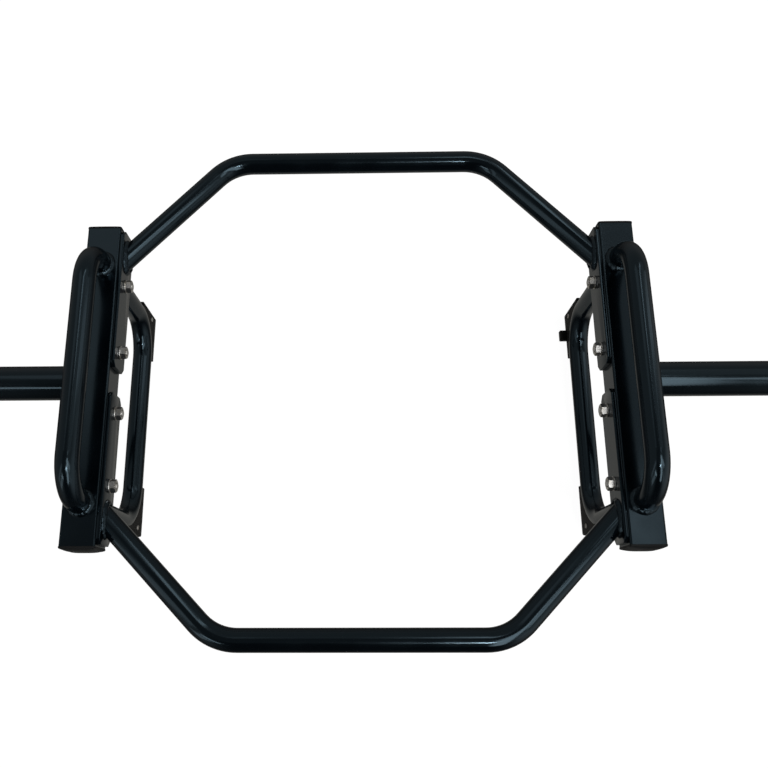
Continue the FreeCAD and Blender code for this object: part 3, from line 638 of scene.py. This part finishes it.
plastic = cap_plastic("moulded_cap_plastic")
TURN_TO_END = {end: Matrix.Rotation(-way * QUARTER_TURN, 4, "X") for end, way in ENDS.items()}
for side, sign in SIDES.items():
    beam_low, beam_high = BEAMS[side]
    half_beam = (beam_high.x - beam_low.x) / 2
    middle = (beam_low + beam_high) / 2
    for end, way in ENDS.items():
        lid = square_cap(half_beam + CAP_LIP)
        place = Matrix.Translation((middle.x, way * beam_high.y, middle.z)) @ TURN_TO_END[end]
        bmesh.ops.transform(lid, matrix=place, verts=lid.verts)
        name = f"{side}_{end}_beam_cap"
        add_piece(f"{name}_moulding", lid, plastic, "cap_plastic", name)
    sleeve_low, sleeve_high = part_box(f"{side}_sleeve")
    lid = round_cap((sleeve_high.z - sleeve_low.z) / 2)
    end_x = sleeve_high.x if sign > 0 else sleeve_low.x
    place = Matrix.Translation((end_x, 0, middle.z)) @ TURN_TO_SIDE[side]
    bmesh.ops.transform(lid, matrix=place, verts=lid.verts)
    add_piece(f"{side}_sleeve_cap_moulding", lid, plastic, "cap_plastic", f"{side}_sleeve_cap")

# Floor and backdrop: a plain white floor that takes soft shadows, inside a white backdrop that only the
# camera sees. Both are hidden from reflections, so that the enamel mirrors the dim room and the lamps.
FLOOR_RADIUS = 7.0
FLOOR_SIDES = 64
FLOOR_COLOUR = (0.16, 0.16, 0.16, 1)
FLOOR_GLOW = 0.96
BACKDROP_RADIUS = 11.0
BACKDROP_SUBDIVISIONS = 3
BACKDROP_GLOW = 1.0
WHITE = (1, 1, 1, 1)


def stage_piece(name, bm, sockets, hidden_from):
    """Makes a mesh part of the set, hidden from the kinds of ray that are named."""
    material, place = new_finish(name)
    surface(place.tree, sockets)
    mesh = bpy.data.meshes.new(name)
    bm.to_mesh(mesh)
    bm.free()
    mesh.materials.append(material)
    made = bpy.data.objects.new(name, mesh)
    bpy.context.scene.collection.objects.link(made)
    for rays in hidden_from:
        setattr(made, f"visible_{rays}", False)


floor_mesh = bmesh.new()
bmesh.ops.create_circle(floor_mesh, cap_ends=True, segments=FLOOR_SIDES, radius=FLOOR_RADIUS)
floor_look = {"Base Color": FLOOR_COLOUR, "Roughness": 1.0, "Emission Color": WHITE,
              "Emission Strength": FLOOR_GLOW}
stage_piece("studio_floor", floor_mesh, floor_look, ["glossy"])
backdrop_mesh = bmesh.new()
bmesh.ops.create_icosphere(backdrop_mesh, subdivisions=BACKDROP_SUBDIVISIONS, radius=BACKDROP_RADIUS)
backdrop_look = {"Base Color": FLOOR_COLOUR, "Emission Color": WHITE, "Emission Strength": BACKDROP_GLOW}
stage_piece("studio_backdrop", backdrop_mesh, backdrop_look,
            ["diffuse", "glossy", "transmission", "volume_scatter", "shadow"])

# Studio room: what the bar mirrors. The walls are dim grey, brighter on the right, and fade out downwards
# to a grey floor. Straight in front, and overhead on the left, it is dark, so that the enamel shows black.
ROOM_WALL = (0.22, 0.22, 0.215, 1)
ROOM_RIGHT_WALL = (0.57, 0.57, 0.56, 1)
ROOM_DARK = (0.026, 0.026, 0.026, 1)
ROOM_OVERHEAD = (0.10, 0.10, 0.10, 1)
ROOM_FLOOR = (0.24, 0.233, 0.215, 1)
UP_WAY, RIGHT_WAY, FRONT_WAY = (0, 90), (90, 0), (180, 0)
RIGHT_WALL_WAY = (107, 0)
OVERHEAD_WAY = (230, 84)
RIGHT_WALL_RANGE = (0.65, 0.97)
OVERHEAD_RANGE = (0.90, 0.97)
HORIZON_RANGE = (-0.75, 0.15)
FLOOR_RANGE = (-0.90, -0.60)
FRONT_RANGE = (0.05, 0.30)
FRONT_WIDTH_RANGE = (0.02, 0.35)


def towards(azimuth, elevation):
    """A direction seen from the bar: the azimuth runs clockwise from the rear, and both are in degrees."""
    turn, rise = math.radians(azimuth), math.radians(elevation)
    return Vector((math.sin(turn) * math.cos(rise), math.cos(turn) * math.cos(rise), math.sin(rise)))


def facing(view, way):
    """How squarely the view points that way: 1 straight at it, 0 at right angles and -1 away from it."""
    sockets = {0: view, 1: towards(*way)}
    return Wire.node(view.tree, "ShaderNodeVectorMath", {"operation": "DOT_PRODUCT"}, sockets, "Value")


room = bpy.data.worlds.new("studio_room")
room.use_nodes = True
room.node_tree.nodes.clear()
view = Wire.node(room.node_tree, "ShaderNodeTexCoord", {}, {}, "Generated")
upward, rightward, forward = (facing(view, way) for way in (UP_WAY, RIGHT_WAY, FRONT_WAY))
front = forward.step(*FRONT_RANGE) * (1 - (rightward * rightward).step(*FRONT_WIDTH_RANGE))
right_wall = facing(view, RIGHT_WALL_WAY).step(*RIGHT_WALL_RANGE)
overhead = facing(view, OVERHEAD_WAY).step(*OVERHEAD_RANGE)
lit = upward.step(*HORIZON_RANGE) * (1 - front)
walls = lit.between(ROOM_DARK, right_wall.between(ROOM_WALL, ROOM_RIGHT_WALL))
above_floor = upward.step(*FLOOR_RANGE).between(ROOM_FLOOR, walls)
room_colour = overhead.between(above_floor, ROOM_OVERHEAD)
glow = Wire.node(room.node_tree, "ShaderNodeBackground", {}, {"Color": room_colour})
Wire.node(room.node_tree, "ShaderNodeOutputWorld", {}, {"Surface": glow})
bpy.context.scene.world = room

# Studio lamps: soft boxes far out round the bar, each given by the directions of its two ends, its width in
# degrees and its brightness. The long window at the front right and its small bright core make the white
# lines and spots on the sleeves, runs and bends, and the rest add the fainter lines and bands.
LAMP_DISTANCE = 12.0
BAR_MIDDLE = Vector((0, 0, 0.25))
LAMPS = {
    "key_window": ((108, 72), (161, 28), 13, 3.0),
    "key_core": ((160, 62.5), (159, 60), 3.5, 85.0),
    "right_window": ((66, 72), (80, 68), 6, 1.15),
    "right_box": ((38, 34), (72, 62), 24, 0.14),
    "front_right_box": ((117, 61), (122, 40), 9, 1.9),
    "front_right_flank": ((138, 46), (138, 16), 12, 0.30),
    "right_strip": ((63, 50), (69, 20), 6, 0.85),
    "rear_strip": ((20, 72), (26, 46), 5.5, 2.0),
    "left_strip": ((239, 56), (239, 8), 7, 0.6),
    "front_left_strip": ((206, 38), (224, 38), 6, 3.4),
    "front_left_window": ((217, 32), (226, 6), 12, 0.9),
    "rear_left_box": ((318, 70), (322, 46), 18, 0.27),
}
for name, (first, second, width, brightness) in LAMPS.items():
    start, end = towards(*first), towards(*second)
    out = (start + end).normalized()
    along = (end - start).normalized()
    facing_bar = Matrix((along, out.cross(along), out)).transposed().to_4x4()
    lamp = bpy.data.lights.new(name, "AREA")
    lamp.shape = "RECTANGLE"
    lamp.size = 2 * LAMP_DISTANCE * math.tan(start.angle(end) / 2)
    lamp.size_y = 2 * LAMP_DISTANCE * math.tan(math.radians(width) / 2)
    lamp.energy = brightness * math.pi * lamp.size * lamp.size_y
    hung = bpy.data.objects.new(name, lamp)
    hung.matrix_world = Matrix.Translation(BAR_MIDDLE + out * LAMP_DISTANCE) @ facing_bar
    hung.visible_camera = False
    bpy.context.scene.collection.objects.link(hung)

# Camera: held above the front of the bar and looking down steeply, a little turned about its own axis.
# The picture is cropped off centre, which the sideways shift of the lens gives.
CAMERA_PLACE = Vector((0.0001, -0.3406, 1.3859))
CAMERA_AIM = Vector((-0.0228, -0.0041, 0.25))
CAMERA_ROLL = math.radians(-4.14)
CAMERA_SENSOR = 36.0
CAMERA_LENS = 38.44
CAMERA_SHIFT = 0.0523
camera = bpy.data.cameras.new("camera")
camera.sensor_width = CAMERA_SENSOR
camera.lens = CAMERA_LENS
camera.shift_x = CAMERA_SHIFT
aimed = (CAMERA_AIM - CAMERA_PLACE).to_track_quat("-Z", "Y")
viewer = bpy.data.objects.new("camera", camera)
viewer.rotation_mode = "QUATERNION"
viewer.rotation_quaternion = aimed @ Quaternion((0, 0, 1), CAMERA_ROLL)
viewer.location = CAMERA_PLACE
bpy.context.scene.collection.objects.link(viewer)
bpy.context.scene.camera = viewer
bpy.context.scene.view_settings.view_transform = "Standard"
